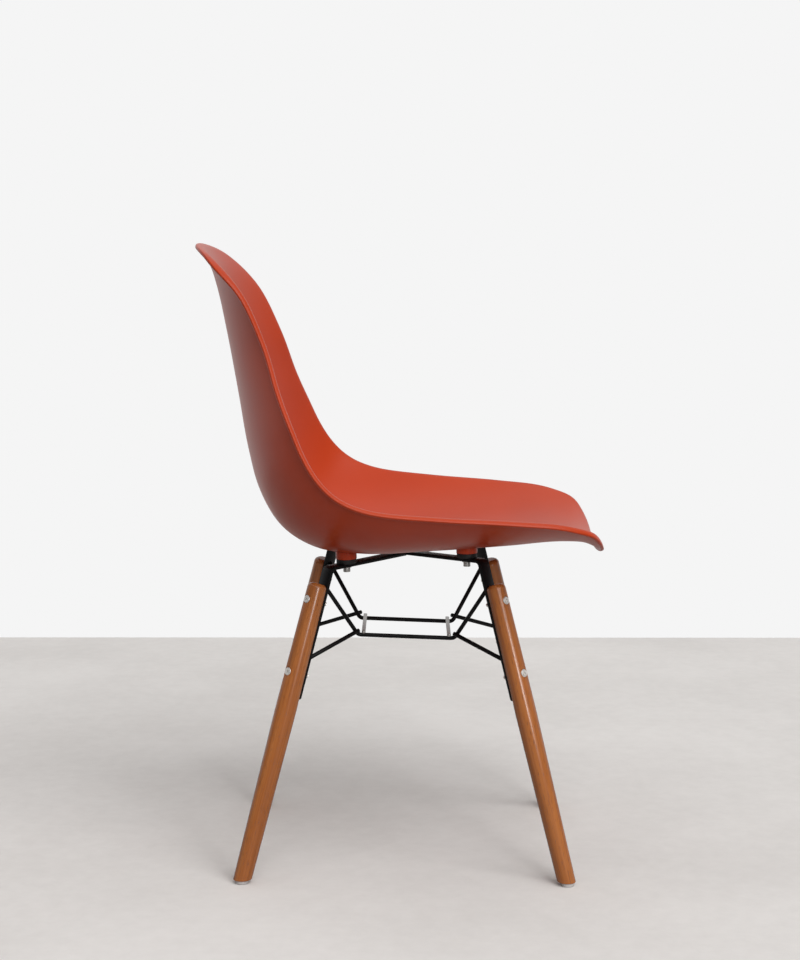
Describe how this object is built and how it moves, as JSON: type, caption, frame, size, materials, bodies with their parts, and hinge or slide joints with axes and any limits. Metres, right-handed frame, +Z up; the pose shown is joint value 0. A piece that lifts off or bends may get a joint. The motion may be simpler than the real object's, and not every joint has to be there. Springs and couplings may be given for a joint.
{
  "type": "moulded plastic shell chair",
  "caption": "Armless side chair: one-piece moulded plastic bucket shell on splayed round wooden legs, joined by crossed flat steel bars and bent wire bracing.",
  "frame": {"origin": "on the floor under the middle of the chair's overall box", "axes": "+Z up from the floor, -Y the way the sitter faces, +X to the sitter's left"},
  "size_m": [0.4815, 0.5438, 0.8277],
  "materials": {
    "shell_plastic": "burnt orange moulded plastic, fine matte grain",
    "black_frame": "near-black satin powder coat",
    "stained_wood": "walnut-stained beech, satin lacquer",
    "zinc_steel": "dull zinc plate",
    "bolt_steel": "bright nickel plate",
    "brass": "plain turned brass",
    "black_rubber": "matte black rubber",
    "glide_plastic": "translucent off-white nylon"
  },
  "bodies": {
    "root": {"boss_inserts": "brass", "brace_link_back": "zinc_steel", "brace_link_front": "zinc_steel", "brace_rod_left": "black_frame", "brace_rod_right": "black_frame", "cross_bar_a": "black_frame", "cross_bar_b": "black_frame", "glide_back_left": "glide_plastic", "glide_back_right": "glide_plastic", "glide_front_left": "glide_plastic", "glide_front_right": "glide_plastic", "glide_pins": "zinc_steel", "leg_back_left": "stained_wood", "leg_back_right": "stained_wood", "leg_bolts": "bolt_steel", "leg_front_left": "stained_wood", "leg_front_right": "stained_wood", "leg_nut_washers": "zinc_steel", "leg_nuts": "zinc_steel", "mount_spacers": "black_rubber", "seat_screws": "zinc_steel", "seat_shell": "shell_plastic", "seat_washers": "zinc_steel", "strut_back_left": "black_frame", "strut_back_right": "black_frame", "strut_front_left": "black_frame", "strut_front_right": "black_frame"}
  },
  "joints": []
}
